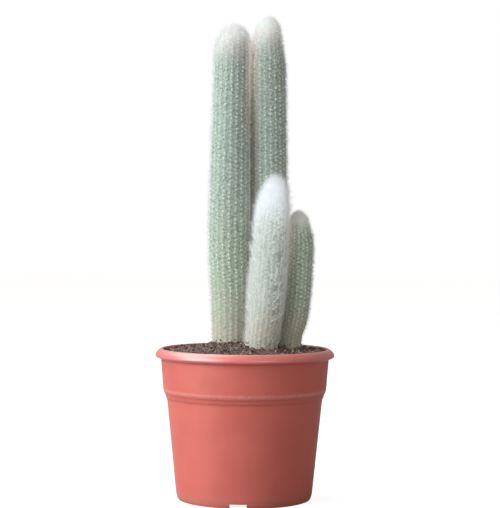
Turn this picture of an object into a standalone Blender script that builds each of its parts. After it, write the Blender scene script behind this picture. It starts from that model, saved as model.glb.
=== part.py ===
"""Potted silver torch cactus: four ribbed, bristly stems in a round plastic nursery pot.

Metres, +Z up. The origin is on the surface that the pot stands on, under the middle of the pot.
-Y is the front and +X the right.
"""
import math
import random

import bmesh
import bpy
import numpy as np
from mathutils import Matrix, Vector
from mathutils.geometry import intersect_point_line

# Gap kept between pieces that touch
CLEARANCE = 0.0003

# Pot: a 170 mm nursery pot
POT_HEIGHT = 0.143
POT_SIDES = 40
WALL = 0.0016
FOOT_RADIUS = 0.0628
FOOT_FLARE = 0.0012
FOOT_FLARE_HEIGHT = 0.0026
FLOOR_HEIGHT = 0.0050
FLOOR_THICKNESS = 0.0018
BODY_BASE_RADIUS = 0.0648
BODY_BASE_HEIGHT = 0.0065
BODY_TOP_RADIUS = 0.0738
BODY_TOP_HEIGHT = 0.0962
BEAD_RADIUS = 0.0751
BEAD_HEIGHT = 0.0030
LEDGE_DROP = 0.0010
COLLAR_BASE_RADIUS = 0.0766
COLLAR_FILLET = 0.0008
COLLAR_FILLET_HEIGHT = 0.0028
COLLAR_TOP_RADIUS = 0.0797
LIP_ROOT_HEIGHT = 0.1330
RIM_RADIUS = 0.0850
RIM_EDGE_HEIGHT = 0.1366
RIM_EDGE_THICKNESS = 0.0013
RIM_EDGE_ROUND = 0.0006
CREST_RADIUS = 0.0792
CREST_ROUND = 0.0010
INNER_LEDGE = 0.0010
CUTTER_DEPTH = 0.010

# Drainage: three notches in the foot ring, one at the front, and four holes in the floor
NOTCH_COUNT = 3
NOTCH_TURN = math.radians(265)
NOTCH_WIDTH = 0.0160
NOTCH_HEIGHT = 0.0042
DRAIN_COUNT = 4
DRAIN_SIDES = 12
DRAIN_RADIUS = 0.0040
DRAIN_CIRCLE = 0.0420

# Soil: nearly level with the rim, heaped toward the stems
SOIL_LEVEL = 0.1412
SOIL_SIDES = 36
SOIL_RINGS = 7
HEAP_HEIGHT = 0.0060
HEAP_CENTRE = (-0.010, 0.004)
HEAP_SPREAD = 0.027
CRUMB_HEIGHT = 0.0007
CRUMB_WAVE = 0.0190

# Stems: ribs, rooted foot, areoles and spines
ROOT_HEIGHT = 0.095
HOLE_SIDES = 24
RIB_DEPTH = 0.105
BURIED_RIB = 0.0035
FIRST_AREOLE = 0.0065
TIP_AREOLE = 0.0045
TIP_SPACING = 0.0070
SPACING_GROWTH = 1.5
GOLDEN_STEP = (math.sqrt(5) - 1) / 2
TIP_VALLEY = 0.0042
VALLEY_SPACING = 0.0330
AREOLE_RADIUS = 0.00048
AREOLE_RISE = 0.00030
SPINE_LENGTH = 0.0052
SPINE_LIFTS = (38, 25, 13, 52, 66, 80)
SPINE_SCALES = (1.0, 0.8, 0.6, 0.45, 0.3)
SPINE_GAP = 0.0009
SPINE_SWING = math.radians(9)
SEED = 17

# One entry for each stem. The axis is a smooth line through its points (x, y, z), the girth gives the
# rib radius at a height, and the dome's length and fullness round off the tip. The spacing is the
# distance between the areoles of one rib.
STEMS = {
    "stem_tall_left": {
        "ribs": 20,
        "spacing": 0.028,
        "tip": 0.4515,
        "dome": 0.026,
        "fullness": 2.4,
        "axis": ((-0.0138, 0.014, 0.150), (-0.0143, 0.014, 0.188), (-0.0164, 0.014, 0.246),
                 (-0.0151, 0.014, 0.370), (-0.0143, 0.014, 0.425), (-0.0124, 0.014, 0.4515)),
        "girth": ((0.146, 0.0184), (0.245, 0.0196), (0.370, 0.0179), (0.412, 0.0172)),
    },
    "stem_tall_right": {
        "ribs": 22,
        "spacing": 0.030,
        "tip": 0.4598,
        "dome": 0.050,
        "fullness": 1.75,
        "axis": ((0.0208, 0.0285, 0.150), (0.0226, 0.0262, 0.260), (0.0215, 0.0240, 0.365),
                 (0.0203, 0.0226, 0.430), (0.0215, 0.0222, 0.450), (0.0232, 0.0220, 0.4598)),
        "girth": ((0.146, 0.0165), (0.308, 0.0173), (0.386, 0.0170)),
    },
    "stem_short_centre": {
        "ribs": 22,
        "spacing": 0.024,
        "tip": 0.3060,
        "dome": 0.050,
        "fullness": 2.2,
        "axis": ((0.0160, -0.0120, 0.146), (0.0186, -0.0114, 0.178), (0.0220, -0.0105, 0.227),
                 (0.0247, -0.0096, 0.2745), (0.0288, -0.0090, 0.306)),
        "girth": ((0.143, 0.0175), (0.200, 0.0185), (0.250, 0.0178)),
    },
    "stem_short_right": {
        "ribs": 18,
        "spacing": 0.022,
        "tip": 0.2733,
        "dome": 0.030,
        "fullness": 2.2,
        "axis": ((0.0432, 0.0060, 0.151), (0.0461, 0.0059, 0.162), (0.0491, 0.0057, 0.181),
                 (0.0515, 0.0054, 0.215), (0.0523, 0.0053, 0.240), (0.0500, 0.0050, 0.2733)),
        "girth": ((0.150, 0.0116), (0.172, 0.0126), (0.240, 0.0128)),
    },
}


def empty_scene():
    for thing in list(bpy.data.objects):
        bpy.data.objects.remove(thing, do_unlink=True)


def plain_material(name, colour, roughness):
    """A Principled surface in linear colour values."""
    material = bpy.data.materials.new(name)
    material.use_nodes = True
    shader = material.node_tree.nodes["Principled BSDF"]
    shader.inputs["Base Color"].default_value = (*colour, 1.0)
    shader.inputs["Roughness"].default_value = roughness
    shader.inputs["Metallic"].default_value = 0.0
    return material


def object_from(bm, name, material=None, smooth_angle=None):
    """Turn a bmesh into a named object."""
    bm.normal_update()
    mesh = bpy.data.meshes.new(name)
    bm.to_mesh(mesh)
    bm.free()
    if smooth_angle is not None:
        mesh.shade_smooth()
        mesh.set_sharp_from_angle(angle=math.radians(smooth_angle))
    thing = bpy.data.objects.new(name, mesh)
    bpy.context.collection.objects.link(thing)
    if material is not None:
        mesh.materials.append(material)
    return thing


def cut_away(thing, cutter):
    """Cut one object out of another with a live Boolean, and keep the cutter out of the model."""
    cutter.hide_render = True
    cutter.display_type = "WIRE"
    cut = thing.modifiers.new("cut " + cutter.name, "BOOLEAN")
    cut.operation = "DIFFERENCE"
    cut.object = cutter


def smooth_value(points, x):
    """Value at x of a smooth line through (x, value) points. It never swings past a point."""
    xs = [point[0] for point in points]
    ys = [point[1] for point in points]
    if x <= xs[0]:
        return ys[0]
    if x >= xs[-1]:
        return ys[-1]
    rises = [(ys[i + 1] - ys[i]) / (xs[i + 1] - xs[i]) for i in range(len(xs) - 1)]
    slopes = [0.0]
    for before, after in zip(rises, rises[1:]):
        same_way = before * after > 0
        slopes.append(2 * before * after / (before + after) if same_way else 0.0)
    slopes.append(rises[-1])
    i = max(k for k in range(len(xs) - 1) if xs[k] <= x)
    width = xs[i + 1] - xs[i]
    t = (x - xs[i]) / width
    start = (2 * t**3 - 3 * t**2 + 1) * ys[i] + (t**3 - 2 * t**2 + t) * width * slopes[i]
    end = (3 * t**2 - 2 * t**3) * ys[i + 1] + (t**3 - t**2) * width * slopes[i + 1]
    return start + end


def ring_of(bm, radius, height, sides):
    """One level ring of vertices round the Z axis."""
    turns = [math.tau * k / sides for k in range(sides)]
    return [bm.verts.new((radius * math.cos(a), radius * math.sin(a), height)) for a in turns]


def bridge(bm, lower, upper):
    """Quads between two rings of equal count, facing away from the axis when upper is above lower."""
    count = len(lower)
    for k in range(count):
        after = (k + 1) % count
        bm.faces.new((lower[k], lower[after], upper[after], upper[k]))


def fan(bm, ring, centre, facing_up):
    """Triangles from a ring to a point in its middle."""
    middle = bm.verts.new(centre)
    count = len(ring)
    for k in range(count):
        pair = (ring[k], ring[(k + 1) % count])
        bm.faces.new((*pair, middle) if facing_up else (*reversed(pair), middle))


def pot_outline():
    """The pot's section (radius, height): up the outside, over the rim, down the inside to the floor."""
    collar_base = BODY_TOP_HEIGHT + LEDGE_DROP + BEAD_HEIGHT + LEDGE_DROP
    floor_top = FLOOR_HEIGHT + FLOOR_THICKNESS
    outside = [
        (FOOT_RADIUS, 0.0),
        (FOOT_RADIUS + FOOT_FLARE, FOOT_FLARE_HEIGHT),
        (BODY_BASE_RADIUS, BODY_BASE_HEIGHT),
        (BODY_TOP_RADIUS, BODY_TOP_HEIGHT),
        (BEAD_RADIUS, BODY_TOP_HEIGHT + LEDGE_DROP),
        (BEAD_RADIUS, BODY_TOP_HEIGHT + LEDGE_DROP + BEAD_HEIGHT),
        (COLLAR_BASE_RADIUS, collar_base),
        (COLLAR_BASE_RADIUS + COLLAR_FILLET, collar_base + COLLAR_FILLET_HEIGHT),
        (COLLAR_TOP_RADIUS, LIP_ROOT_HEIGHT),
        (RIM_RADIUS - RIM_EDGE_ROUND, RIM_EDGE_HEIGHT - RIM_EDGE_THICKNESS),
        (RIM_RADIUS, RIM_EDGE_HEIGHT),
        (CREST_RADIUS + CREST_ROUND, POT_HEIGHT - 0.7 * CREST_ROUND),
        (CREST_RADIUS, POT_HEIGHT),
    ]
    inside = [
        (CREST_RADIUS - CREST_ROUND, POT_HEIGHT - 0.7 * CREST_ROUND),
        (COLLAR_TOP_RADIUS - WALL, RIM_EDGE_HEIGHT),
        (COLLAR_BASE_RADIUS - WALL, collar_base + INNER_LEDGE),
        (BODY_TOP_RADIUS - WALL, BODY_TOP_HEIGHT + INNER_LEDGE),
        (BODY_BASE_RADIUS - WALL, floor_top + 2 * INNER_LEDGE),
        (BODY_BASE_RADIUS - 3 * WALL, floor_top),
    ]
    return outside, inside


def make_pot(material):
    outside, inside = pot_outline()
    bm = bmesh.new()
    under = ring_of(bm, FOOT_RADIUS - WALL, FLOOR_HEIGHT, POT_SIDES)
    fan(bm, under, (0, 0, FLOOR_HEIGHT), facing_up=False)
    rings = [under, ring_of(bm, FOOT_RADIUS - WALL, 0.0, POT_SIDES)]
    rings += [ring_of(bm, radius, height, POT_SIDES) for radius, height in outside + inside]
    for lower, upper in zip(rings, rings[1:]):
        bridge(bm, lower, upper)
    fan(bm, rings[-1], (0, 0, FLOOR_HEIGHT + FLOOR_THICKNESS), facing_up=True)
    pot = object_from(bm, "pot", material, smooth_angle=30)
    cut_away(pot, notch_cutter())
    cut_away(pot, drain_cutter())
    return pot


def notch_cutter():
    """Blocks that cut the drainage notches through the foot ring."""
    bm = bmesh.new()
    for k in range(NOTCH_COUNT):
        turn = Matrix.Rotation(NOTCH_TURN + math.tau * k / NOTCH_COUNT, 3, "Z")
        block = bmesh.ops.create_cube(bm, size=1.0)["verts"]
        bmesh.ops.scale(bm, vec=(CUTTER_DEPTH, NOTCH_WIDTH, 2 * NOTCH_HEIGHT), verts=block)
        bmesh.ops.translate(bm, vec=(FOOT_RADIUS, 0, 0), verts=block)
        bmesh.ops.rotate(bm, cent=(0, 0, 0), matrix=turn, verts=block)
    return object_from(bm, "notch cutter")


def drain_cutter():
    """Round bars that cut the drain holes through the floor."""
    bm = bmesh.new()
    for k in range(DRAIN_COUNT):
        turn = math.tau * (k + 0.5) / DRAIN_COUNT
        bar = bmesh.ops.create_cone(bm, cap_ends=True, segments=DRAIN_SIDES, radius1=DRAIN_RADIUS,
                                    radius2=DRAIN_RADIUS, depth=CUTTER_DEPTH)["verts"]
        middle = (DRAIN_CIRCLE * math.cos(turn), DRAIN_CIRCLE * math.sin(turn), FLOOR_HEIGHT)
        bmesh.ops.translate(bm, vec=middle, verts=bar)
    return object_from(bm, "drain cutter")


def soil_height(x, y):
    """Height of the soil: a low heap round the stems, with shallow lumps."""
    away = ((x - HEAP_CENTRE[0])**2 + (y - HEAP_CENTRE[1])**2) / (2 * HEAP_SPREAD**2)
    wave = math.tau / CRUMB_WAVE
    lumps = math.sin(wave * x + 1.3 * math.sin(wave * y)) * math.cos(wave * y + 0.7 * math.sin(wave * x))
    return SOIL_LEVEL + HEAP_HEIGHT * math.exp(-away) + CRUMB_HEIGHT * lumps


def pot_inside_radius(height):
    """Radius of the pot's inner wall at a height."""
    section = sorted((z, radius) for radius, z in pot_outline()[1])
    return float(np.interp(height, [z for z, _ in section], [radius for _, radius in section]))


def soil_side():
    """The soil's outer side (radius, height), from its floor up to just under the rim."""
    slack = CLEARANCE / math.cos(math.pi / POT_SIDES) + pot_inside_radius(SOIL_LEVEL) * (
        1 - math.cos(math.pi / POT_SIDES))
    floor = FLOOR_HEIGHT + FLOOR_THICKNESS + CLEARANCE
    heights = [z for _, z in reversed(pot_outline()[1]) if floor + 0.001 < z < SOIL_LEVEL - 0.006]
    side = [(BODY_BASE_RADIUS - 3 * WALL - slack, floor)]
    return side + [(pot_inside_radius(z) - slack, z) for z in heights]


def make_soil(material):
    bm = bmesh.new()
    side = soil_side()
    rings = [ring_of(bm, radius, height, SOIL_SIDES) for radius, height in side]
    fan(bm, rings[0], (0, 0, side[0][1]), facing_up=False)
    edge = side[-1][0]
    for k in range(SOIL_RINGS):
        ring = ring_of(bm, edge * (1 - k / SOIL_RINGS), 0.0, SOIL_SIDES)
        for vert in ring:
            vert.co.z = soil_height(vert.co.x, vert.co.y)
        rings.append(ring)
    for lower, upper in zip(rings, rings[1:]):
        bridge(bm, lower, upper)
    fan(bm, rings[-1], (0, 0, soil_height(0, 0)), facing_up=True)
    soil = object_from(bm, "soil", material, smooth_angle=60)
    for name, stem in STEMS.items():
        cut_away(soil, hole_cutter(name, stem))
    return soil


def hole_cutter(name, stem):
    """A round bar that cuts the plain hole in which a stem stands."""
    x, y, top = stem["axis"][0]
    radius = (foot_radius(stem) + CLEARANCE) / math.cos(math.pi / HOLE_SIDES)
    bottom = ROOT_HEIGHT - CLEARANCE
    length = top + CUTTER_DEPTH - bottom
    bm = bmesh.new()
    bmesh.ops.create_cone(bm, cap_ends=True, segments=HOLE_SIDES, radius1=radius, radius2=radius,
                          depth=length)
    bmesh.ops.translate(bm, vec=(x, y, bottom + length / 2), verts=bm.verts)
    return object_from(bm, "hole for " + name)


def foot_radius(stem):
    return stem["girth"][0][1]


def axis_at(stem, height):
    """Middle of the stem at a height."""
    x = smooth_value([(point[2], point[0]) for point in stem["axis"]], height)
    y = smooth_value([(point[2], point[1]) for point in stem["axis"]], height)
    return x, y


def rib_radius(stem, height):
    """Radius of the rib crests at a height: the girth, rounded off toward the tip."""
    drop = min(max((stem["tip"] - height) / stem["dome"], 0.0), 1.0)
    rounding = (1 - (1 - drop)**2) ** (1 / stem["fullness"])
    return smooth_value(stem["girth"], height) * rounding


def skin_point(stem, angle, height, depth=0.0):
    """Point on the stem at an angle and a height, some way inside the rib crests."""
    x, y = axis_at(stem, height)
    radius = rib_radius(stem, height) - depth
    return Vector((x + radius * math.cos(angle), y + radius * math.sin(angle), height))


def skin_directions(stem, angle, height):
    """Directions on a rib crest: sideways, up along the rib, and out of the skin."""
    step = 0.0002
    sideways = Vector((-math.sin(angle), math.cos(angle), 0))
    above = skin_point(stem, angle, min(height + step, stem["tip"]))
    upward = (above - skin_point(stem, angle, height - step)).normalized()
    return sideways, upward, sideways.cross(upward)


def levels_down(stem, first, spacing, widest, lowest, phase=0.0):
    """Heights from the tip down to the lowest. The spacing along the skin grows up to the widest.

    The phase, from 0 to 1, moves every level that part of the way to the next one.
    """
    drops = (stem["tip"] - lowest) * np.linspace(0, 1, 400)**2
    heights = stem["tip"] - drops
    radii = [rib_radius(stem, height) for height in heights]
    lengths = np.concatenate(([0.0], np.cumsum(np.hypot(np.diff(radii), np.diff(heights)))))
    found = []
    along = first
    while along + phase * spacing < lengths[-1]:
        found.append(float(np.interp(along + phase * spacing, lengths, heights)))
        along += spacing
        spacing = min(spacing * SPACING_GROWTH, widest)
    return found


def soil_round(stem):
    """Lowest and highest soil at the edge of a stem's hole."""
    x, y, _ = stem["axis"][0]
    turns = [math.tau * k / HOLE_SIDES for k in range(HOLE_SIDES)]
    radius = foot_radius(stem)
    around = [soil_height(x + radius * math.cos(a), y + radius * math.sin(a)) for a in turns]
    return min(around), max(around)


def distance_to_skin(stem, point):
    """Distance from a point to the round hull of a stem's rib crests."""
    height = min(point.z, stem["tip"] - 0.25 * stem["dome"])
    x, y = axis_at(stem, height)
    return (point - Vector((x, y, height))).length - rib_radius(stem, height)


def keeps_to_its_side(stem, point):
    """True where a point is clearly nearer to its own stem than to any other."""
    own = distance_to_skin(stem, point)
    others = [other for other in STEMS.values() if other is not stem]
    return all(distance_to_skin(other, point) > own + 2 * CLEARANCE for other in others)


def stay_apart(one, other):
    """True if two straight spines, each a root and a tip, keep clear of each other."""
    if (one[0] - other[0]).length > 2.5 * SPINE_LENGTH:
        return True
    for spine, line in ((one, other), (other, one)):
        for t in (0.0, 0.25, 0.5, 0.75, 1.0):
            point = spine[0].lerp(spine[1], t)
            along = intersect_point_line(point, *line)[1]
            nearest = line[0].lerp(line[1], min(max(along, 0.0), 1.0))
            if (point - nearest).length < SPINE_GAP:
                return False
    return True


def spine_tip(stem, root, directions, heading, placed, rng):
    """Tip of a spine, bent or shortened until it is clear of the other stems and spines."""
    sideways, upward, outward = directions
    heading += rng.uniform(-SPINE_SWING, SPINE_SWING)
    flat = sideways * math.sin(heading) + upward * math.cos(heading)
    length = SPINE_LENGTH * rng.uniform(0.85, 1.1)
    for scale in SPINE_SCALES:
        for lift in SPINE_LIFTS:
            tilt = math.radians(lift)
            tip = root + (flat * math.cos(tilt) + outward * math.sin(tilt)) * length * scale
            free = keeps_to_its_side(stem, tip) and keeps_to_its_side(stem, root.lerp(tip, 0.5))
            if free and all(stay_apart((root, tip), other) for other in placed):
                return tip
    return None


def add_areole(bm, stem, angle, height, upright, placed, rng):
    """A knob on the rib with three spines, and its three corners, of which the first is the point.

    An upright knob has its point up and its flat side down, the other kind is upside down.
    """
    directions = skin_directions(stem, angle, height)
    sideways, upward, outward = directions
    centre = skin_point(stem, angle, height)
    sense = 1 if upright else -1
    corners = []
    for k in range(3):
        turn = math.tau * k / 3
        offset = (upward * math.cos(turn) - sideways * math.sin(turn)) * sense
        corners.append(bm.verts.new(centre + offset * AREOLE_RADIUS))
    middle = bm.verts.new(centre + outward * AREOLE_RISE)
    spines = []
    for first, second in zip(corners, corners[1:] + corners[:1]):
        root = (first.co + second.co + middle.co) / 3
        toward = (first.co + second.co) / 2 - centre
        heading = math.atan2(toward.dot(sideways), toward.dot(upward))
        tip = spine_tip(stem, root, directions, heading, placed, rng)
        if tip is None:
            bm.faces.new((middle, first, second))
            continue
        point = bm.verts.new(tip)
        for pair in ((middle, first), (first, second), (second, middle)):
            bm.faces.new((*pair, point))
        spines.append((root, tip))
    placed += spines
    return corners


def close_crest(bm, below, above):
    """Face between the (left, right) ends of two knobs on one rib. A pointed end has both alike."""
    corners = list(dict.fromkeys((below[0], below[1], above[1], above[0])))
    if len(corners) > 2:
        bm.faces.new(corners)


def add_rib(bm, stem, angle, heights, bottoms, apex, placed, rng):
    """Areoles along a rib from the ground to the tip. Returns its left and right line of vertices."""
    left = list(bottoms)
    right = list(bottoms)
    for count, height in enumerate(reversed(heights)):
        upright = count % 2 == 0
        corners = add_areole(bm, stem, angle, height, upright, placed, rng)
        point = (corners[0], corners[0])
        flat = (corners[1], corners[2]) if upright else (corners[2], corners[1])
        lower, upper = (flat, point) if upright else (point, flat)
        close_crest(bm, (left[-1], right[-1]), lower)
        left += [lower[0], upper[0]]
        right += [lower[1], upper[1]]
    close_crest(bm, (left[-1], right[-1]), (apex, apex))
    return left, right


def zip_lines(bm, near, far, apex):
    """Triangles between two upward lines of vertices, closed at the apex."""
    a = 0
    b = 0
    while a < len(near) - 1 or b < len(far) - 1:
        a_next = near[a + 1].co.z if a < len(near) - 1 else math.inf
        b_next = far[b + 1].co.z if b < len(far) - 1 else math.inf
        if a_next <= b_next:
            bm.faces.new((near[a], far[b], near[a + 1]))
            a += 1
        else:
            bm.faces.new((near[a], far[b], far[b + 1]))
            b += 1
    bm.faces.new((near[a], far[b], apex))


def make_stem(name, stem, material):
    """A ribbed column with a round foot in the soil, a domed tip and spines on its ribs."""
    rng = random.Random(f"{SEED} {name}")
    bm = bmesh.new()
    columns = 2 * stem["ribs"]
    turns = [math.tau * k / columns for k in range(columns)]
    low, high = soil_round(stem)
    x, y, _ = stem["axis"][0]
    round_foot = []
    for height in (ROOT_HEIGHT, low - BURIED_RIB):
        ring = ring_of(bm, foot_radius(stem), height, columns)
        bmesh.ops.translate(bm, vec=(x, y, 0), verts=ring)
        round_foot.append(ring)
    bm.faces.new(reversed(round_foot[0]))
    apex = bm.verts.new((*axis_at(stem, stem["tip"]), stem["tip"]))
    ground = high + CLEARANCE
    valley_heights = levels_down(stem, TIP_VALLEY, TIP_VALLEY, VALLEY_SPACING, ground + FIRST_AREOLE)
    placed = []
    lines = []
    for k, angle in enumerate(turns):
        bottoms = [ring[k] for ring in round_foot]
        if k % 2 == 0:
            bottoms.append(bm.verts.new(skin_point(stem, angle, ground)))
            heights = levels_down(stem, TIP_AREOLE, TIP_SPACING, stem["spacing"],
                                  ground + FIRST_AREOLE, phase=(k / 2 * GOLDEN_STEP) % 1)
            lines.append(add_rib(bm, stem, angle, heights, bottoms, apex, placed, rng))
        else:
            heights = [ground] + valley_heights[::-1]
            points = [skin_point(stem, angle, z, RIB_DEPTH * rib_radius(stem, z)) for z in heights]
            valley = bottoms + [bm.verts.new(point) for point in points]
            lines.append((valley, valley))
    for near, far in zip(lines, lines[1:] + lines[:1]):
        zip_lines(bm, near[1], far[0], apex)
    return object_from(bm, name, material)


def build():
    empty_scene()
    make_pot(plain_material("pot plastic", (0.55, 0.12, 0.10), 0.45))
    make_soil(plain_material("potting soil", (0.075, 0.055, 0.045), 0.95))
    skin = plain_material("cactus skin", (0.40, 0.52, 0.43), 0.75)
    for name, stem in STEMS.items():
        make_stem(name, stem, skin)


build()
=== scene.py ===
# %% [markdown]
# # Potted silver torch cactus: the looks
# Four ribbed columns of a silver torch cactus stand in a terracotta-red plastic nursery pot. The solids
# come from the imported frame. This script dresses them: it turns a finer pot, fills it with crumbly soil,
# lays a ribbed skin over each stem, and sets felt, thousands of fine bristles and white wool on it.
# Everything is in metres, +Z is up, -Y is the front, and the origin is under the middle of the pot.

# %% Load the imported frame
import math

import bmesh
import bpy
import numpy as np
from mathutils import Matrix, Vector, noise
from mathutils.bvhtree import BVHTree


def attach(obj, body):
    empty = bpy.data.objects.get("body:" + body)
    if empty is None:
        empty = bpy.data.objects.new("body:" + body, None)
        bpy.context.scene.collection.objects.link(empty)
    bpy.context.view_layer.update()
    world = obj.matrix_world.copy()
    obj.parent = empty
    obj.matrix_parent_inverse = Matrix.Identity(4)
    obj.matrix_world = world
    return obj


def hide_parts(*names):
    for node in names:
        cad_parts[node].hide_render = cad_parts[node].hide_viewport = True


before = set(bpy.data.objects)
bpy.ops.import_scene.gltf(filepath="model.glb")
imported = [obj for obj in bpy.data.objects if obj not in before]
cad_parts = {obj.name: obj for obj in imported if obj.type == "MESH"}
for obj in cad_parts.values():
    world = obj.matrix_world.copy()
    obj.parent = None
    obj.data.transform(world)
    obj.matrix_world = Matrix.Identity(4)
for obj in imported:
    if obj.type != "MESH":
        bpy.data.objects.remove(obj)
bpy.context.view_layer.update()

# %% [markdown]
# ## Camera
# The photo is nearly a straight front view from 1.6 m away. Its eye height, lens and slight tilts were
# found by matching the pot's rim, shoulder and foot. The camera could be aimed with a constraint, but
# three plain turns, tilt, pan and roll, keep it in one matrix that is easy to check.

# %% Place the camera
EYE = Vector((0.0, -1.600, 0.2644))
TILT_DOWN = math.radians(1.137)
PAN_RIGHT = math.radians(0.149)
ROLL = math.radians(0.381)
LENS_MM = 119.33


def stand(name, data):
    """A new object in the scene, at the origin."""
    thing = bpy.data.objects.new(name, data)
    bpy.context.scene.collection.objects.link(thing)
    return thing


lens = bpy.data.cameras.new("photo camera")
lens.lens = LENS_MM
lens.sensor_width = 36.0
lens.clip_start = 0.05
lens.clip_end = 50.0
camera = stand("photo camera", lens)
bpy.context.scene.camera = camera
aim = (Matrix.Rotation(-PAN_RIGHT, 4, "Z") @ Matrix.Rotation(math.radians(90) - TILT_DOWN, 4, "X")
       @ Matrix.Rotation(ROLL, 4, "Z"))
camera.matrix_world = Matrix.Translation(EYE) @ aim
print("the camera looks along", [round(v, 4) for v in -aim.col[2].xyz])

# %% [markdown]
# ## A small workbench for node trees
# Shapes that repeat and surface finishes are both made of nodes. Adding and linking nodes one by one is
# wordy, so this workbench adds a node, fills its inputs by name and hands back its output as a signal.
# Signals can be added and multiplied like numbers, so a rule reads almost like a formula.


# %% Node helpers
def shown(sockets, name=None):
    """The sockets in use, or the one of that name."""
    found = [socket for socket in sockets if socket.enabled and name in (None, socket.name)]
    return found if name is None else found[0]


def sum_with(operation, turned=False):
    """A method that makes a math node of two values. Turned, the other value comes first."""
    def method(self, other):
        if self.socket.type == "VECTOR":
            return self.bench.vector("SCALE" if operation == "MULTIPLY" else operation, self, other)
        return self.bench.sum(operation, *((other, self) if turned else (self, other)))
    return method


class Signal:
    """A node's output, which can be reckoned with like a number or a vector."""

    def __init__(self, bench, socket):
        self.bench, self.socket = bench, socket

    __add__, __radd__ = sum_with("ADD"), sum_with("ADD", turned=True)
    __sub__, __rsub__ = sum_with("SUBTRACT"), sum_with("SUBTRACT", turned=True)
    __mul__, __rmul__ = sum_with("MULTIPLY"), sum_with("MULTIPLY", turned=True)
    __truediv__, __rtruediv__ = sum_with("DIVIDE"), sum_with("DIVIDE", turned=True)
    __pow__, __gt__, __lt__ = sum_with("POWER"), sum_with("GREATER_THAN"), sum_with("LESS_THAN")


class NodeBench:
    """Adds nodes to one tree and joins them."""

    def __init__(self, tree):
        self.tree = tree

    def feed(self, socket, value):
        """Gives a socket a signal or a plain value. A colour needs no alpha."""
        if isinstance(value, Signal):
            self.tree.links.new(value.socket, socket)
        else:
            socket.default_value = (*value[:3], 1.0) if socket.type == "RGBA" else value

    def fill(self, node, inputs):
        for name, value in inputs.items():
            self.feed(shown(node.inputs, name), value)

    def node(self, kind, inputs=None, **settings):
        made = self.tree.nodes.new(kind)
        for key, value in settings.items():
            setattr(made, key, value)
        self.fill(made, inputs or {})
        return made

    def outputs(self, node):
        return {socket.name: Signal(self, socket) for socket in node.outputs}

    def value(self, kind, inputs=None, output=None, **settings):
        """A node's output as a signal: the named one, or else the first in use."""
        sockets = self.node(kind, inputs, **settings).outputs
        return Signal(self, sockets[output] if output else shown(sockets)[0])

    def sum(self, operation, *values, kind="ShaderNodeMath"):
        """A Math node: one sum on numbers."""
        made = self.node(kind, operation=operation)
        for socket, value in zip(shown(made.inputs), values):
            self.feed(socket, value)
        return Signal(self, shown(made.outputs)[0])

    def vector(self, operation, *values):
        """A Vector Math node. For SCALE the second value is the number."""
        return self.sum(operation, *values, kind="ShaderNodeVectorMath")

    def join(self, x=0.0, y=0.0, z=0.0):
        return self.value("ShaderNodeCombineXYZ", {"X": x, "Y": y, "Z": z})

    def split(self, vector):
        return self.outputs(self.node("ShaderNodeSeparateXYZ", {"Vector": vector}))

    def ease(self, value, low, high, start=0.0, end=1.0):
        """Start below low, end above high, and a smooth change between them."""
        return self.value("ShaderNodeMapRange", {
            "Value": value, "From Min": low, "From Max": high, "To Min": start, "To Max": end},
            interpolation_type="SMOOTHSTEP")

    def mix(self, factor, one, other, kind="FLOAT"):
        """One where the factor is 0 and the other where it is 1."""
        return self.value("ShaderNodeMix", {"Factor": factor, "A": one, "B": other}, data_type=kind)

    def tint(self, factor, one, other):
        """One colour where the factor is 0 and the other where it is 1."""
        return self.mix(factor, one, other, "RGBA")


# %% [markdown]
# ## Light
# The photo was lit by one large, cool, soft light from the left and a little in front, which leaves the
# right side of the pot at about a fifth of the brightness of its left. A large area light gives that
# soft fall-off. A second one, above and behind on the left, lights the tips and lets the fuzz at the
# edges glow as it does before a bright wall. A weak, narrow beam from the front right opens up the tall
# stems and leaves the pot alone. The world is plain white to the camera but lights the scene weakly and
# warmly, so the shadow side keeps its depth. The Standard view transform keeps white paper white.

# %% Lights and background
AIM = Vector((0.0, 0.0, 0.22))
TALL_STEMS = Vector((0.01, 0.0, 0.42))
FILL_STRENGTH = 0.33
FILL_COLOUR = (1.0, 0.90, 0.80)
WHITE = (1.0, 1.0, 1.0)

bpy.context.scene.view_settings.view_transform = "Standard"


def soft_light(name, place, width, power, colour, aim=AIM, spread=180.0):
    """A square area light that faces the plant. A smaller spread, in degrees, makes it a beam."""
    light = bpy.data.lights.new(name, "AREA")
    light.size = width
    light.energy = power
    light.color = colour
    light.spread = math.radians(spread)
    lamp = stand(name, light)
    lamp.location = place
    lamp.rotation_euler = (Vector(place) - aim).to_track_quat("Z", "Y").to_euler()
    print(name, "gives", power, "W")


soft_light("soft box at the left", (-1.604, -0.842, 0.95), width=1.5, power=49.0,
           colour=(0.95, 0.98, 1.0))
soft_light("gridded light in front", (0.85, -1.90, 0.85), width=0.5, power=0.35,
           colour=(1.0, 0.95, 0.90), aim=TALL_STEMS, spread=28.0)
soft_light("soft light overhead", (-0.95, 0.60, 1.75), width=1.4, power=22.0,
           colour=(0.94, 0.97, 1.0))

world = bpy.data.worlds.new("white studio")
world.use_nodes = True
bpy.context.scene.world = world
sky = NodeBench(world.node_tree)
seen = sky.value("ShaderNodeLightPath", output="Is Camera Ray")
sky.fill(world.node_tree.nodes["Background"], {
    "Strength": sky.mix(seen, FILL_STRENGTH, 1.0), "Color": sky.tint(seen, FILL_COLOUR, WHITE)})

# %% [markdown]
# ## Floor
# The plant stands on a plain white sheet. In the photo it burns out to white, so this floor adds a soft
# glow of its own for the camera only, and keeps just a breath of shadow at the foot of the pot.

# %% White floor
FLOOR_HALF = 6.0
PAPER_GREY = (0.30, 0.30, 0.30)
PAPER_GLOW = 0.90


def new_material(name):
    """A node material, its bench and its surface shader."""
    material = bpy.data.materials.new(name)
    material.use_nodes = True
    return material, NodeBench(material.node_tree), material.node_tree.nodes["Principled BSDF"]


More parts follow.
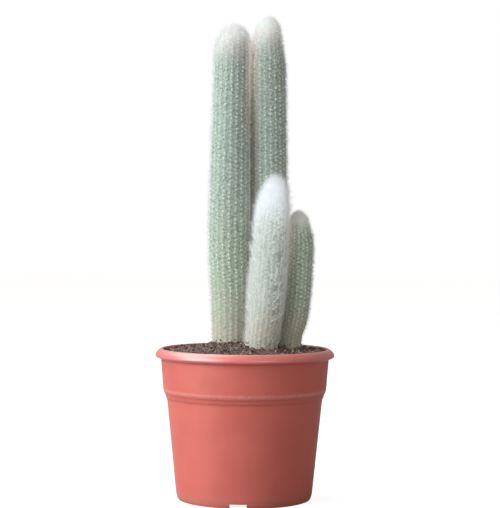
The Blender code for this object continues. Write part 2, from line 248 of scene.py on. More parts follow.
floor_mesh = bpy.data.meshes.new("white floor")
corners = ((-1, -1), (1, -1), (1, 1), (-1, 1))
floor_mesh.from_pydata([(FLOOR_HALF * x, FLOOR_HALF * y, 0) for x, y in corners], [], [(0, 1, 2, 3)])
white_floor = stand("white_floor", floor_mesh)
paper, bench, shader = new_material("white paper")
paper_seen = bench.value("ShaderNodeLightPath", output="Is Camera Ray")
bench.fill(shader, {"Base Color": PAPER_GREY, "Roughness": 1.0, "Specular IOR Level": 0.0,
                    "Emission Color": WHITE, "Emission Strength": paper_seen * PAPER_GLOW})
floor_mesh.materials.append(paper)
print("the floor is", 2 * FLOOR_HALF, "m wide")

# %% [markdown]
# ## Shared finishes
# Plastic, soil and skin all show the same two things: a cloudy change of tone, and dust that gathers
# low down. Each is a shader node group with named inputs, built once. A material places it with its own
# colours and sizes. A group puts out only colours and masks; the surface shader stays in the material.


# %% Helpers for groups and materials
SORTS = {int: "Int", float: "Float", tuple: "Color"}


def new_group(kind, name, inputs, outputs):
    """An empty node group. An input is named with its default, or with its sort where it has none.

    Returns its bench, its inputs as signals, and its end.
    """
    tree = bpy.data.node_groups.new(name, kind)
    for label, default in inputs.items():
        sort = SORTS.get(type(default), default)
        socket = tree.interface.new_socket(label, in_out="INPUT", socket_type="NodeSocket" + sort)
        if sort != default:
            socket.default_value = default
    for label, sort in outputs.items():
        tree.interface.new_socket(label, in_out="OUTPUT", socket_type="NodeSocket" + sort)
    bench = NodeBench(tree)
    return bench, bench.outputs(tree.nodes.new("NodeGroupInput")), tree.nodes.new("NodeGroupOutput")


def place_group(bench, group, inputs):
    """Puts a shared finish into a material."""
    return bench.outputs(bench.node("ShaderNodeGroup", inputs, node_tree=group))


def mottle(bench, scale, detail=2.0, roughness=0.5):
    """Cloudy noise that stays put on the object."""
    return bench.value("ShaderNodeTexNoise", {
        "Vector": bench.value("ShaderNodeTexCoord", output="Object"), "Scale": scale, "Detail": detail,
        "Roughness": roughness})


def bump(bench, height, distance, strength=1.0):
    """Relief that only shades the surface. The distance is its depth in metres."""
    return bench.value("ShaderNodeBump", {"Strength": strength, "Distance": distance, "Height": height})


def attribute(bench, name):
    """A value that the mesh carries at each point."""
    return bench.value("ShaderNodeAttribute", output="Fac", attribute_name=name)


# %% Cloudy tone and settled dust
bench, given, result = new_group(
    "ShaderNodeTree", "cloudy tone",
    {"Dark": (0.1, 0.1, 0.1, 1), "Light": (0.5, 0.5, 0.5, 1), "Patch Size": 0.02, "Grain Size": 0.001,
     "Grain Share": 0.3}, {"Color": "Color", "Mask": "Float", "Grain": "Float"})
patches = mottle(bench, 1.0 / given["Patch Size"], 4.0, 0.6)
grain = mottle(bench, 1.0 / given["Grain Size"])
mask = bench.ease(bench.mix(given["Grain Share"], patches, grain), 0.32, 0.68)
bench.fill(result, {"Color": bench.tint(mask, given["Dark"], given["Light"]), "Mask": mask, "Grain": grain})
CLOUDY_TONE = bench.tree

bench, given, result = new_group(
    "ShaderNodeTree", "settled dust",
    {"Color": (0.5, 0.5, 0.5, 1), "Dust": (0.3, 0.25, 0.2, 1), "Measure": 0.0, "Thick Below": 0.0,
     "Gone Above": 0.02, "Amount": 0.5, "Speck Size": 0.003}, {"Color": "Color"})
specks = bench.ease(mottle(bench, 1.0 / given["Speck Size"], 3.0, 0.6), 0.35, 0.60, 0.3)
fade = bench.ease(given["Measure"], given["Thick Below"], given["Gone Above"], 1.0, 0.0)
mask = fade * given["Amount"] * specks
bench.fill(result, {"Color": bench.tint(mask, given["Color"], given["Dust"])})
SETTLED_DUST = bench.tree
print("shared finishes:", CLOUDY_TONE.name, "and", SETTLED_DUST.name)

# %% [markdown]
# ## Pot
# A thin moulded nursery pot: a foot ring with drainage notches, a tapered wall, a sloping shoulder with
# two fine ledges, a collar, and a sloping rim with a rolled crest. Such a round thing is best drawn as one
# section (radius, height) and turned round the axis. The solid has sharp corners and few sides, so here
# each corner gets a small arc, with points close beside it, and the turn many more sides.

# %% The pot's section
POT_HEIGHT = 0.143
WALL = 0.0016
FOOT_RADIUS = 0.0628
FLOOR_UNDERSIDE = 0.0050
FLOOR_TOP = 0.0068
CORNER_ROUND = 0.0006
SHELL_SIDES = 176

OUTSIDE = [(FOOT_RADIUS - WALL, FLOOR_UNDERSIDE), (FOOT_RADIUS - WALL, 0.0), (FOOT_RADIUS, 0.0),
           (0.0640, 0.0026), (0.0648, 0.0065), (0.0737, 0.0945), (0.0743, 0.0964), (0.0749, 0.0967),
           (0.0757, 0.1004), (0.0764, 0.1008), (0.0774, 0.1040), (0.0797, 0.1330), (0.0841, 0.1350),
           (0.0849, 0.1357), (0.0850, 0.1372), (0.0842, 0.1391), (0.0824, 0.1412), (0.0804, 0.1425),
           (0.0791, POT_HEIGHT)]
INSIDE = [(0.0782, 0.1423), (0.0781, 0.1366), (0.0750, 0.1022), (0.0722, 0.0972),
          (0.0632, FLOOR_TOP + 0.0020), (0.0600, FLOOR_TOP)]
SECTION = [(0.0, FLOOR_UNDERSIDE)] + OUTSIDE + INSIDE + [(0.0, FLOOR_TOP)]
WORN_CORNERS = [(0.0774, 0.1040), (0.0849, 0.1360), (0.0791, POT_HEIGHT), (FOOT_RADIUS, 0.0)]


def round_corners(section, reach, steps=2):
    """The section with each corner turned into a small arc."""
    points = [Vector(point) for point in section]
    smooth = [points[0]]
    for before, corner, after in zip(points, points[1:], points[2:]):
        near = min(reach, 0.4 * (corner - before).length, 0.4 * (after - corner).length)
        start = corner + (before - corner).normalized() * near
        end = corner + (after - corner).normalized() * near
        for k in range(steps + 1):
            t = k / steps
            smooth.append((1 - t)**2 * start + 2 * t * (1 - t) * corner + t**2 * end)
    return smooth + [points[-1]]


def rest_points(section, gap):
    """The section with a point near each end of its long lines, so that wear stays at the corners."""
    points = [Vector(point) for point in section]
    closer = [points[0]]
    for start, end in zip(points, points[1:]):
        step = (end - start).normalized() * gap
        if (end - start).length > 3 * gap:
            closer += [start + step, end - step]
        closer.append(end)
    return closer


print("the pot's section has", len(SECTION), "corners")


# %% Turn the section
def object_from(bm, name):
    """A bmesh as a named object that stands at the origin."""
    bm.normal_update()
    mesh = bpy.data.meshes.new(name)
    bm.to_mesh(mesh)
    bm.free()
    return stand(name, mesh)


def turn_section(section, sides, name, shape=None):
    """A closed turned body. The section starts and ends on the axis. The shape may move each point."""
    bm = bmesh.new()
    turns = [math.tau * k / sides for k in range(sides)]
    rings = []
    for radius, height in section:
        if radius < 1e-6:
            rings.append([bm.verts.new((0, 0, height))] * sides)
        else:
            rings.append([bm.verts.new((radius * math.cos(a), radius * math.sin(a), height)) for a in turns])
    for lower, upper in zip(rings, rings[1:]):
        for k in range(sides):
            after = (k + 1) % sides
            bm.faces.new(dict.fromkeys((lower[k], lower[after], upper[after], upper[k])))
    if shape is not None:
        for vert in bm.verts:
            shape(vert.co)
    return object_from(bm, name)


def bake(thing, name):
    """The evaluated object as a plain mesh object. The one with modifiers is deleted."""
    settled = thing.evaluated_get(bpy.context.evaluated_depsgraph_get())
    mesh = bpy.data.meshes.new_from_object(settled)
    mesh.name = name
    bpy.data.objects.remove(thing, do_unlink=True)
    return stand(name, mesh)


def triangles(thing):
    return sum(len(face.vertices) - 2 for face in thing.data.polygons)


def settle(piece, slot_name, *nodes):
    """A finished piece rides with the plant and stands for its nodes. Its slot_name is not used."""
    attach(piece, "root")
    if nodes:
        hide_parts(*nodes)
    print(piece.name, "has", triangles(piece), "triangles")


# %% Cut the notches and drain holes
NOTCH_COUNT = 3
NOTCH_TURN = math.radians(265)
NOTCH_SIZE = (0.010, 0.0160, 0.0084)
DRAIN_COUNT = 4
DRAIN_RADIUS = 0.0040
DRAIN_CIRCLE = 0.0420
DRAIN_DEPTH = 0.006
REST_GAP = 0.0018


def drainage_cutter():
    """Blocks for the notches in the foot ring and bars for the holes in the floor."""
    bm = bmesh.new()
    for k in range(NOTCH_COUNT):
        turn = Matrix.Rotation(NOTCH_TURN + math.tau * k / NOTCH_COUNT, 3, "Z")
        block = bmesh.ops.create_cube(bm, size=1.0)["verts"]
        bmesh.ops.scale(bm, vec=NOTCH_SIZE, verts=block)
        bmesh.ops.translate(bm, vec=(FOOT_RADIUS, 0, 0), verts=block)
        bmesh.ops.rotate(bm, cent=(0, 0, 0), matrix=turn, verts=block)
    for k in range(DRAIN_COUNT):
        turn = math.tau * (k + 0.5) / DRAIN_COUNT
        bar = bmesh.ops.create_cone(bm, cap_ends=True, segments=24, radius1=DRAIN_RADIUS,
                                    radius2=DRAIN_RADIUS, depth=DRAIN_DEPTH)["verts"]
        middle = (DRAIN_CIRCLE * math.cos(turn), DRAIN_CIRCLE * math.sin(turn), 0.0065)
        bmesh.ops.translate(bm, vec=middle, verts=bar)
    return object_from(bm, "drainage cutter")


def cut_away(thing, cutter, name):
    """One object less another, as a plain mesh."""
    cut = thing.modifiers.new("cut", "BOOLEAN")
    cut.operation = "DIFFERENCE"
    cut.solver = "EXACT"
    cut.object = cutter
    plain = bake(thing, name)
    bpy.data.objects.remove(cutter, do_unlink=True)
    return plain


def shade(thing, sharp_angle):
    """Smooth shading that keeps the edges sharper than an angle, in degrees."""
    thing.data.shade_smooth()
    thing.data.set_sharp_from_angle(angle=math.radians(sharp_angle))


smooth_section = rest_points(round_corners(SECTION, CORNER_ROUND), REST_GAP)
pot_shell = turn_section(smooth_section, SHELL_SIDES, "turned pot")
pot_shell = cut_away(pot_shell, drainage_cutter(), "pot_shell")
shade(pot_shell, sharp_angle=35)

# %% Mark the corners that wear
WEAR_REACH = 0.0016


def write_values(mesh, label, values):
    """Keeps a number for each point of a mesh."""
    mesh.attributes.new(label, "FLOAT", "POINT").data.foreach_set("value", np.asarray(values, np.float32))


def mark_wear(thing, corners, reach):
    """A value at each point: 1 on a corner of the section that gets rubbed, 0 away from it."""
    places = np.array([vertex.co for vertex in thing.data.vertices])
    flat = np.stack((np.hypot(places[:, 0], places[:, 1]), places[:, 2]), axis=1)
    away = np.min([np.hypot(*(flat - corner).T) for corner in np.array(corners)], axis=0)
    write_values(thing.data, "worn", np.clip(1 - away / reach, 0, 1))
    print(int((away < reach).sum()), "points lie on worn corners")


mark_wear(pot_shell, WORN_CORNERS, WEAR_REACH)

# %% [markdown]
# ## Finish of the pot
# Terracotta-coloured polypropylene is a satin plastic: one strong red, clouded a little by the mould,
# paler where corners are rubbed, and dusty near the soil and the foot. The cloudy tone gives the base
# colour, the marked corners get a paler plastic, and the dust group adds a thin film at the foot. The rim
# came out of a polished part of the mould, so a coat makes it redder and glossier than the wall. A little
# sheen stands for the haze that old plastic shows toward its outline.

# %% Terracotta plastic
plastic, bench, shader = new_material("terracotta plastic")
height = bench.split(bench.value("ShaderNodeTexCoord", output="Object"))["Z"]
tone = place_group(bench, CLOUDY_TONE, {
    "Dark": (0.60, 0.122, 0.094), "Light": (0.65, 0.137, 0.107), "Patch Size": 0.035,
    "Grain Size": 0.0012, "Grain Share": 0.25})
rubbed = attribute(bench, "worn") * bench.ease(tone["Grain"], 0.35, 0.6, 0.25, 0.75)
low_dust = place_group(bench, SETTLED_DUST, {
    "Color": bench.tint(rubbed, tone["Color"], (0.80, 0.34, 0.30)), "Dust": (0.42, 0.24, 0.18),
    "Measure": height, "Thick Below": 0.001, "Gone Above": 0.016, "Amount": 0.35, "Speck Size": 0.002})
polished = bench.ease(height, 0.133, 0.136)
satin = bench.ease(tone["Mask"], 0.0, 1.0, 0.44, 0.54)
bench.fill(shader, {
    "Base Color": bench.tint(polished * 0.8, low_dust["Color"], (0.71, 0.155, 0.140)),
    "Roughness": bench.mix(polished, satin, 0.40), "Specular IOR Level": 0.75,
    "Coat Weight": polished, "Coat Roughness": 0.40, "Coat IOR": 1.75,
    "Sheen Weight": 0.25, "Sheen Roughness": 0.3,
    "Normal": bump(bench, tone["Grain"], distance=0.00001, strength=0.5)})


def paint(piece, material):
    """Gives a whole piece one material."""
    piece.data.materials.clear()
    piece.data.materials.append(material)


paint(pot_shell, plastic)
settle(pot_shell, "pot_plastic", "pot")

# %% [markdown]
# ## Geometry Nodes trees
# A tree for a modifier takes a mesh in and gives a mesh out, with a named input for each size. The
# modifier's inputs are set by socket identifier before the object is first evaluated. The result is
# then kept as a plain mesh, because the exported model holds no live modifiers.


# %% Helpers for trees
def new_tree(name, inputs):
    """An empty modifier tree. Returns its bench, its named inputs and its end."""
    made = new_group("GeometryNodeTree", name, {"Geometry": "Geometry", **inputs}, {"Geometry": "Geometry"})
    made[0].tree.is_modifier = True
    return made


def field(bench, name, kind="FLOAT"):
    """A value that the geometry carries under a name."""
    return bench.value("GeometryNodeInputNamedAttribute", {"Name": name}, data_type=kind)


def store(bench, geometry, name, value, kind="FLOAT"):
    """Writes a value on every point under a name."""
    return bench.value("GeometryNodeStoreNamedAttribute",
                       {"Geometry": geometry, "Name": name, "Value": value}, data_type=kind)


def chance(bench, seed, low, high, kind="FLOAT"):
    """A different random value for each point."""
    return bench.value("FunctionNodeRandomValue", {"Min": low, "Max": high, "Seed": seed}, data_type=kind)


def end_tree(bench, geometry, material, smooth, last):
    """Realizes the instances, sets shading and material, and ends the tree."""
    real = bench.value("GeometryNodeRealizeInstances", {"Geometry": geometry})
    shaded = bench.value("GeometryNodeSetShadeSmooth", {"Geometry": real, "Shade Smooth": smooth})
    bench.fill(last, {"Geometry": bench.value("GeometryNodeSetMaterial", {
        "Geometry": shaded, "Material": material})})
    print("tree of", bench.tree.name, "with", len(bench.tree.nodes), "nodes")
    return bench.tree


def run_tree(mesh, tree, values, name):
    """Runs a tree on a mesh and returns the result as a plain object."""
    carrier = stand(name + " maker", mesh)
    modifier = carrier.modifiers.new(tree.name, "NODES")
    modifier.node_group = tree
    names = {item.name: item.identifier for item in tree.interface.items_tree if item.in_out == "INPUT"}
    for label, value in values.items():
        modifier[names[label]] = value
    return bake(carrier, name)


# %% [markdown]
# ## Stems, as numbers
# Each stem is a ribbed column. Its middle runs along a smooth line, its girth is the radius at the rib
# crests, and a dome rounds off its tip. These are the solid's values, but for the tips, which make room
# for wool. The skin lies a little inside, because the solid's girth takes in the fuzz of each stem, and
# its grooves are shallow, because bristles fill them. An areole is the small felt cushion from which a
# cactus grows its spines. They sit 3.9 mm apart on each crest, and closer together near the tip where
# they are young. Neighbouring ribs are staggered by half a step. Youth says how far the wool of the tip
# comes down.

# %% Sizes of the stems
ROOT_HEIGHT = 0.095
RIB_DEPTH = 0.065
SMOOTH_TIP = 0.020
AREOLE_STEP = 0.0039
YOUNG_AREOLE_STEP = 0.0021
YOUNG_REACH = 0.022
ROWS_PER_STEP = 2

STEMS = {
    "stem_tall_left": {
        "ribs": 20, "tip": 0.4460, "dome": 0.026, "fullness": 2.4, "youth": 1.0, "fuzz": 0.0006,
        "axis": ((-0.0138, 0.014, 0.150), (-0.0142, 0.014, 0.188), (-0.0161, 0.014, 0.246),
                 (-0.0148, 0.014, 0.370), (-0.0140, 0.014, 0.425), (-0.0121, 0.014, 0.4515)),
        "girth": ((0.146, 0.0184), (0.245, 0.0196), (0.370, 0.0179), (0.412, 0.0172)),
    },
    "stem_tall_right": {
        "ribs": 22, "tip": 0.4545, "dome": 0.050, "fullness": 1.75, "youth": 0.9, "fuzz": 0.0001,
        "axis": ((0.0208, 0.0285, 0.150), (0.0214, 0.0266, 0.260), (0.0202, 0.0246, 0.365),
                 (0.0192, 0.0234, 0.430), (0.0208, 0.0228, 0.450), (0.0228, 0.0226, 0.4598)),
        "girth": ((0.146, 0.0165), (0.260, 0.0178), (0.386, 0.0177)),
    },
    "stem_short_centre": {
        "ribs": 22, "tip": 0.2958, "dome": 0.064, "fullness": 1.95, "youth": 1.4, "fuzz": 0.0026,
        "axis": ((0.0153, -0.0120, 0.146), (0.0184, -0.0114, 0.178), (0.0225, -0.0105, 0.227),
                 (0.0252, -0.0096, 0.2745), (0.0300, -0.0090, 0.306)),
        "girth": ((0.143, 0.0183), (0.200, 0.0186), (0.250, 0.0178)),
    },
    "stem_short_right": {
        "ribs": 18, "tip": 0.2685, "dome": 0.030, "fullness": 2.2, "youth": 0.5, "fuzz": 0.0011,
        "axis": ((0.0432, 0.0060, 0.151), (0.0461, 0.0059, 0.162), (0.0491, 0.0057, 0.181),
                 (0.0515, 0.0054, 0.215), (0.0523, 0.0053, 0.240), (0.0500, 0.0050, 0.2733)),
        "girth": ((0.150, 0.0116), (0.172, 0.0126), (0.240, 0.0128)),
    },
}


def smooth_value(points, x):
    """Value at x of a smooth line through (x, value) points. It never swings past a point."""
    xs, ys = zip(*points)
    if not xs[0] < x < xs[-1]:
        return ys[0] if x <= xs[0] else ys[-1]
    rises = [(ys[i + 1] - ys[i]) / (xs[i + 1] - xs[i]) for i in range(len(xs) - 1)]
    slopes = [0.0]
    for before, after in zip(rises, rises[1:]):
        slopes.append(2 * before * after / (before + after) if before * after > 0 else 0.0)
    slopes.append(rises[-1])
    i = max(k for k in range(len(xs) - 1) if xs[k] <= x)
    width = xs[i + 1] - xs[i]
    t = (x - xs[i]) / width
    start = (2 * t**3 - 3 * t**2 + 1) * ys[i] + (t**3 - 2 * t**2 + t) * width * slopes[i]
    end = (3 * t**2 - 2 * t**3) * ys[i + 1] + (t**3 - t**2) * width * slopes[i + 1]
    return start + end


def axis_at(stem, height):
    """Middle of a stem at a height."""
    return (smooth_value([(z, x) for x, _, z in stem["axis"]], height),
            smooth_value([(z, y) for _, y, z in stem["axis"]], height), height)


def rib_radius(stem, height):
    """Radius of the rib crests at a height: the girth less the fuzz, rounded off toward the tip."""
    drop = min(max((stem["tip"] - height) / stem["dome"], 0.0), 1.0)
    girth = smooth_value(stem["girth"], height) - stem["fuzz"]
    return girth * (1 - (1 - drop)**2) ** (1 / stem["fullness"])


# %% [markdown]
# ## Soil
# Dark peat with grit fills the pot almost to the rim, heaps up a little toward the stems and creeps up
# round their feet. The bulk is turned like the pot, with many rings on top, and lumps from layered noise.
# Each stem stands in a plain hole. The loose crumbs come next, as a scatter of small broken pieces.

# %% Soil bulk
SOIL_LEVEL = 0.1412
SOIL_EDGE = 0.0776
SOIL_RINGS = 54
SOIL_SIDES = 180
HEAP_HEIGHT = 0.0060
HEAP_CENTRE = (-0.010, 0.004)
HEAP_SPREAD = 0.027
LUMP_HEIGHT = 0.0007
LUMP_WAVE = 0.0190
CLOD_SIZE = 0.0045
CLOD_HEIGHT = 0.0011
EDGE_DIP = 0.0009
COLLAR_HEIGHT = 0.0030
COLLAR_REACH = 0.0045


def soil_height(x, y):
    """Height of the soil without its clods, as in the solid."""
    away = ((x - HEAP_CENTRE[0])**2 + (y - HEAP_CENTRE[1])**2) / (2 * HEAP_SPREAD**2)
    wave = math.tau / LUMP_WAVE
    lumps = math.sin(wave * x + 1.3 * math.sin(wave * y)) * math.cos(wave * y + 0.7 * math.sin(wave * x))
    return SOIL_LEVEL + HEAP_HEIGHT * math.exp(-away) + LUMP_HEIGHT * lumps


def lift_soil(place):
    """Raises a point of the soil's top to its height, clods and all."""
    if place.z < SOIL_LEVEL - 0.0001:
        return
    clods = noise.fractal(place.xy.to_3d() / CLOD_SIZE, 0.7, 2.1, 4)
    edge = max(0.0, (place.xy.length - 0.9 * SOIL_EDGE) / (0.1 * SOIL_EDGE))
    nearest = min(math.hypot(place.x - stem["axis"][0][0], place.y - stem["axis"][0][1]) - stem["girth"][0][1]
                  for stem in STEMS.values())
    collar = COLLAR_HEIGHT * math.exp(-(max(nearest, 0.0) / COLLAR_REACH)**2) * (0.6 + 0.8 * clods)
    place.z = soil_height(place.x, place.y) + CLOD_HEIGHT * clods - EDGE_DIP * edge + max(collar, 0.0)


side = [(0.0, FLOOR_TOP + 0.0003), (0.0595, FLOOR_TOP + 0.0003), (0.0627, FLOOR_TOP + 0.0024),
        (0.0716, 0.0972), (0.0745, 0.1022), (0.0770, SOIL_LEVEL - 0.006)]
top = [(SOIL_EDGE * (1 - k / SOIL_RINGS), SOIL_LEVEL) for k in range(SOIL_RINGS + 1)]
soil_fill = turn_section(side + top, SOIL_SIDES, "turned soil", shape=lift_soil)
print("soil from", round(side[0][1], 4), "to", round(max(v.co.z for v in soil_fill.data.vertices), 4))

# %% Drill the soil for the stems
HOLE_GAP = 0.0003
HOLE_SIDES = 48


def stem_drill(stem):
    """A round bar for the hole in which a stem stands."""
    x, y, top_height = stem["axis"][0]
    bottom = ROOT_HEIGHT - HOLE_GAP
    length = top_height + 0.01 - bottom
    radius = stem["girth"][0][1] + HOLE_GAP
    bm = bmesh.new()
    bmesh.ops.create_cone(bm, cap_ends=True, segments=HOLE_SIDES, radius1=radius, radius2=radius,
                          depth=length)
    bmesh.ops.translate(bm, vec=(x, y, bottom + length / 2), verts=bm.verts)
    return object_from(bm, "stem drill")


for stem in STEMS.values():
    soil_fill = cut_away(soil_fill, stem_drill(stem), "soil_fill")
shade(soil_fill, sharp_angle=60)

# %% [markdown]
# ## Finish of the soil
# Wet peat is nearly black, dry peat grey-brown, and fine grit shows as pale specks. The cloudy tone
# mixes dark and dry peat, and a fine noise picks out a few specks of grit. Relief from the same grain
# breaks up the light between the crumbs.

# %% Potting soil
soil_finish, bench, shader = new_material("potting soil")
tone = place_group(bench, CLOUDY_TONE, {
    "Dark": (0.055, 0.037, 0.032), "Light": (0.230, 0.165, 0.143), "Patch Size": 0.006,
    "Grain Size": 0.0011, "Grain Share": 0.55})
grit = bench.ease(mottle(bench, 620.0, 1.0), 0.66, 0.72, 0.0, 0.8)
bench.fill(shader, {
    "Base Color": bench.tint(grit, tone["Color"], (0.42, 0.38, 0.34)), "Roughness": 0.95,
    "Specular IOR Level": 0.2, "Normal": bump(bench, tone["Mask"], distance=0.0007)})

paint(soil_fill, soil_finish)
settle(soil_fill, "potting_soil", "soil")

# %% [markdown]
# ## Crumbs
# Loose crumbs of peat and grit lie on the soil and here and there up against the rim. Placing them by
# hand would take hours, so a tree strews points over the top faces and sets a small broken pebble of
# twenty faces on each, turned and squashed at random. Each keeps a random shade for its material.

# %% Crumb tree
bench, given, last = new_tree("strewn crumbs", {
    "Per Square Metre": 90000.0, "Smallest": 0.0004, "Largest": 0.0013, "Lowest": 0.137, "Highest": 1.0,
    "Sink": 0.3, "Seed": 1, "Finish": "Material"})
height = bench.split(bench.value("GeometryNodeInputPosition"))["Z"]
on_top = (height > given["Lowest"]) * (height < given["Highest"])
points = bench.value("GeometryNodeDistributePointsOnFaces", {
    "Mesh": given["Geometry"], "Selection": on_top, "Density": given["Per Square Metre"],
    "Seed": given["Seed"]}, distribute_method="RANDOM")
points = store(bench, points, "crumb_shade", chance(bench, 11, 0.0, 1.0))
pebble = bench.value("GeometryNodeMeshIcoSphere", {"Radius": 1.0, "Subdivisions": 1})
rough = bench.value("ShaderNodeTexNoise", {"Scale": 1.7, "Detail": 1.0}, output="Color")
dent = bench.vector("SUBTRACT", rough, (0.5, 0.5, 0.5)) * 1.1
pebble = bench.value("GeometryNodeSetPosition", {"Geometry": pebble, "Offset": dent})
size = bench.mix(chance(bench, 12, 0.0, 1.0)**2.2, given["Smallest"], given["Largest"])
squash = chance(bench, 13, (0.6, 0.6, 0.4), (1.2, 1.0, 0.9), "FLOAT_VECTOR")
turn = chance(bench, 14, (0, 0, 0), (6.3, 6.3, 6.3), "FLOAT_VECTOR")
points = bench.value("GeometryNodeSetPosition", {
    "Geometry": points, "Offset": bench.join(z=size * given["Sink"])})
crumbs = bench.value("GeometryNodeInstanceOnPoints", {
    "Points": points, "Instance": pebble, "Rotation": turn, "Scale": squash * size})
CRUMB_TREE = end_tree(bench, crumbs, given["Finish"], False, last)

# %% Strew the crumbs
CRUMB_SHADES = ((0.0, (0.040, 0.026, 0.023)), (0.35, (0.120, 0.082, 0.070)), (0.68, (0.250, 0.185, 0.160)),
                (0.90, (0.370, 0.295, 0.255)), (1.0, (0.560, 0.500, 0.450)))

crumb_finish, bench, shader = new_material("soil crumbs")
shades = bench.node("ShaderNodeValToRGB", {"Fac": attribute(bench, "crumb_shade")})
ramp = shades.color_ramp.elements
while len(ramp) < len(CRUMB_SHADES):
    ramp.new(0.5)
for element, (where, colour) in zip(ramp, CRUMB_SHADES):
    element.position = where
    element.color = (*colour, 1.0)
fibre = mottle(bench, 1500.0)
bench.fill(shader, {
    "Base Color": bench.tint(bench.ease(fibre, 0.3, 0.7, 0.0, 0.5), bench.outputs(shades)["Color"],
                             (0.035, 0.024, 0.020)),
    "Roughness": 0.9, "Specular IOR Level": 0.25, "Normal": bump(bench, fibre, distance=0.0002)})

soil_crumbs = run_tree(soil_fill.data, CRUMB_TREE, {
    "Per Square Metre": 95000.0, "Smallest": 0.00035, "Largest": 0.0017, "Lowest": 0.1385, "Sink": 0.35,
    "Seed": 5, "Finish": crumb_finish}, "soil_crumbs")
settle(soil_crumbs, "potting_soil")

# %% [markdown]
# ## Ribbed skin
# Under its bristles each stem is a column with twenty or so shallow ribs, and every rib swells a little
# at each areole. The shape follows a rule, so a tree makes it. Python gives the tree a core: one point
# for each ring, with its radius. The tree lays a grid round the core, dips it between the crests, swells
# it at the areoles, lets each groove sway between the swellings, and closes the seam and both poles.

# %% Rule of the ribs
bench, given, last = new_tree("ribbed stem", {
    "Ribs": 20, "Columns per Rib": 6, "Rib Depth": 0.105, "Swelling": 0.0003, "Sway": 0.18,
    "Skin": "Material"})
rings = bench.value("GeometryNodeAttributeDomainSize", {"Geometry": given["Geometry"]},
                    output="Point Count", component="MESH")
columns = given["Ribs"] * given["Columns per Rib"]
sheet = bench.value("GeometryNodeMeshGrid", {
    "Size X": columns, "Size Y": rings - 1, "Vertices X": columns + 1, "Vertices Y": rings})
spot = bench.split(bench.value("GeometryNodeInputPosition"))
column = spot["X"] + columns / 2
ring = bench.sum("ROUND", spot["Y"] + (rings - 1) / 2)


def from_core(value, kind="FLOAT"):
    """Value of the core at this ring."""
    return bench.value("GeometryNodeSampleIndex", {
        "Geometry": given["Geometry"], "Value": value, "Index": ring}, data_type=kind, domain="POINT")


names = ("girth", "ribbing", "areole_count", "growing", "below_tip", "above_soil")
core = {name: from_core(field(bench, name)) for name in names}
share = column / columns
rib_number = share * given["Ribs"]
groove_beat = bench.sum("COSINE", math.tau * (core["areole_count"] + bench.sum("FLOOR", rib_number) * 0.5))
sway = groove_beat * given["Sway"] * bench.sum("SINE", rib_number * math.pi)**2.0
crest = bench.sum("ABSOLUTE", bench.sum("COSINE", (rib_number - sway) * math.pi))
valley = (1.0 - crest**0.8) * core["ribbing"]
beat = bench.sum("COSINE", math.tau * (core["areole_count"] + bench.sum("ROUND", rib_number) * 0.5))
swell = beat * crest**2.0 * (given["Swelling"] * core["ribbing"])
radius = core["girth"] * (1.0 - valley * given["Rib Depth"]) + swell

# %% What the skin remembers, and its form
# The grid's own places are gone after Set Position, so the values are kept on the flat grid first.
marks = {"valley": valley, "areole": (crest > 0.99) * (beat > 0.99) * core["growing"],
         "below_tip": core["below_tip"], "above_soil": core["above_soil"]}
for name, value in marks.items():
    sheet = store(bench, sheet, name, value)
middle = from_core(bench.value("GeometryNodeInputPosition"), "FLOAT_VECTOR")
turn = share * math.tau
outward = bench.join(bench.sum("COSINE", turn), bench.sum("SINE", turn))
skin = bench.value("GeometryNodeSetPosition", {"Geometry": sheet, "Position": middle + outward * radius})
whole = bench.value("GeometryNodeMergeByDistance", {"Geometry": skin, "Distance": 0.00001})
SKIN_TREE = end_tree(bench, whole, given["Skin"], True, last)


# %% Cores of the stems
def stem_core(stem):
    """One point for each ring of the skin, from the root's middle to the tip, and what each one carries."""
    ground = max(soil_height(stem["axis"][0][0] + stem["girth"][0][1] * math.cos(a),
                             stem["axis"][0][1] + stem["girth"][0][1] * math.sin(a))
                 for a in np.linspace(0, math.tau, 24)) + 0.0003
    heights = stem["tip"] - (stem["tip"] - ground) * np.linspace(0, 1, 3000)**2
    radii = [rib_radius(stem, z) for z in heights]
    lengths = np.concatenate(([0.0], np.cumsum(np.hypot(np.diff(radii), np.diff(heights)))))
    youth = np.exp(-lengths / YOUNG_REACH)
    step = AREOLE_STEP + (YOUNG_AREOLE_STEP - AREOLE_STEP) * youth
    counts = np.concatenate(([0.0], np.cumsum(np.diff(lengths) / ((step[1:] + step[:-1]) / 2))))
    wanted = np.arange(1, int(counts[-1] * ROWS_PER_STEP) + 1) / ROWS_PER_STEP
    rows = [(0.0, stem["tip"], 0.0, 0.0, 0.0, 0.0)]
    for count in wanted:
        z = float(np.interp(count, counts, heights))
        below = float(np.interp(count, counts, lengths)) / stem["youth"]
        rows.append((rib_radius(stem, z), z, count, min(below / SMOOTH_TIP, 1.0)**2, 1.0, below))
    foot = stem["girth"][0][1] - stem["fuzz"]
    for radius, z in ((foot, ground - 0.006), (foot, ROOT_HEIGHT), (0.0, ROOT_HEIGHT)):
        rows.append((radius, z, wanted[-1], 0.0, 0.0, lengths[-1]))
    rows.reverse()
    return rows, ground


def core_mesh(stem, name):
    """The core as a line of points, each with the values of its ring."""
    rows, ground = stem_core(stem)
    mesh = bpy.data.meshes.new(name)
    mesh.from_pydata([axis_at(stem, row[1]) for row in rows], [(k, k + 1) for k in range(len(rows) - 1)], [])
    labels = ("girth", "height", "areole_count", "ribbing", "growing", "below_tip")
    carried = dict(zip(labels, np.array(rows).T))
    carried["above_soil"] = carried.pop("height") - ground
    for label, values in carried.items():
        write_values(mesh, label, values)
    return mesh
